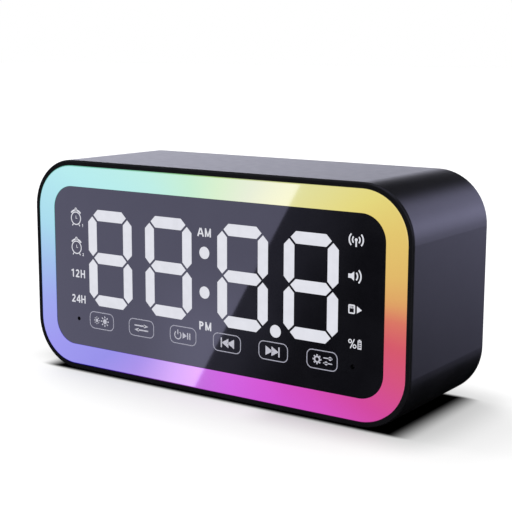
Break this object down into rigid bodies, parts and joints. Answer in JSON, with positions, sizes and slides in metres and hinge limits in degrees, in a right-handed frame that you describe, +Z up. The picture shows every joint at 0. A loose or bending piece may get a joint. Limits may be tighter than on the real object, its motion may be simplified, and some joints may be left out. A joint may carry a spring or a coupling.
{
  "type": "digital desk clock",
  "caption": "Digital desk clock: rounded black body, white seven-segment digits on a gloss touch panel, colour light ring round the face, rear speaker.",
  "frame": {"origin": "on the surface the clock stands on, under the middle of the body", "axes": "+X to the right seen from the front, +Y to the rear, +Z up; the face looks along -Y"},
  "size_m": [0.15, 0.0506, 0.0748],
  "materials": {
    "body_plastic": "satin black moulded plastic",
    "ring_opal": "opal diffuser, lit from behind",
    "panel_gloss": "black gloss acrylic",
    "segment_white": "milky diffuser, lit white",
    "light_pipe": "clear acrylic",
    "carrier_white": "white moulded plastic",
    "mask_film": "black adhesive film",
    "circuit_board": "green solder mask",
    "led_package": "white package with yellow phosphor",
    "dark_foam": "dark grey foam",
    "soft_rubber": "black rubber",
    "screw_steel": "plated steel",
    "bare_steel": "plated steel",
    "basket_steel": "black painted steel",
    "ferrite": "sintered ferrite",
    "copper_winding": "copper wire on a paper former",
    "cone_plastic": "thin polypropylene",
    "spider_cloth": "resin-dipped cloth",
    "grille_cloth": "black acoustic cloth",
    "chip_black": "moulded epoxy",
    "connector_ivory": "ivory nylon",
    "cell_wrap": "shrink wrap over a steel can",
    "ribbon_film": "white film with printed tracks",
    "lead_insulation": "red wire insulation"
  },
  "bodies": {
    "clock_body": {"housing_sleeve": "body_plastic", "rear_cover": "body_plastic", "battery_cradle": "body_plastic", "light_ring": "ring_opal", "face_panel": "panel_gloss", "digit_1_segments": "segment_white", "digit_2_segments": "segment_white", "digit_3_segments": "segment_white", "digit_4_segments": "segment_white", "colon_dots": "segment_white", "decimal_point": "segment_white", "legend_light_pipes": "light_pipe", "front_frame": "carrier_white", "display_reflector": "carrier_white", "light_mask": "mask_film", "front_board": "circuit_board", "main_board": "circuit_board", "ring_leds": "led_package", "segment_leds": "led_package", "touch_pad_light": "dark_foam", "touch_pad_mode": "dark_foam", "touch_pad_power": "dark_foam", "touch_pad_previous": "dark_foam", "touch_pad_next": "dark_foam", "touch_pad_set": "dark_foam", "speaker_gasket": "dark_foam", "rubber_foot_left_front": "soft_rubber", "rubber_foot_left_rear": "soft_rubber", "rubber_foot_right_front": "soft_rubber", "rubber_foot_right_rear": "soft_rubber", "microphone_boot": "soft_rubber", "speaker_surround": "soft_rubber", "frame_screws": "screw_steel", "board_screws": "screw_steel", "rear_screws": "screw_steel", "speaker_screws": "screw_steel", "main_board_screws": "screw_steel", "speaker_top_plate": "bare_steel", "speaker_yoke": "bare_steel", "charging_socket": "bare_steel", "card_socket": "bare_steel", "microphone": "bare_steel", "radio_module": "bare_steel", "speaker_basket": "basket_steel", "speaker_magnet": "ferrite", "speaker_spider": "spider_cloth", "grille_mesh": "grille_cloth", "board_chips": "chip_black", "light_sensor": "chip_black", "switch_body": "chip_black", "speaker_terminals": "chip_black", "board_connectors": "connector_ivory", "battery_cell": "cell_wrap", "ribbon_cable": "ribbon_film", "speaker_leads": "lead_insulation", "battery_leads": "lead_insulation"},
    "moving_cone": {"voice_coil": "copper_winding", "speaker_cone": "cone_plastic", "dust_cap": "cone_plastic"},
    "switch_slider": {"switch_knob": "body_plastic"}
  },
  "joints": [
    {"name": "cone_travel", "type": "slide", "parent": "clock_body", "child": "moving_cone", "axis": [0, 1, 0], "range_m": [-0.0015, 0.0015], "stiffness_N_per_m": 1500, "deforming": ["speaker_surround", "speaker_spider"]},
    {"name": "switch_slide", "type": "slide", "parent": "clock_body", "child": "switch_slider", "axis": [1, 0, 0], "range_m": [0, 0.002]}
  ]
}
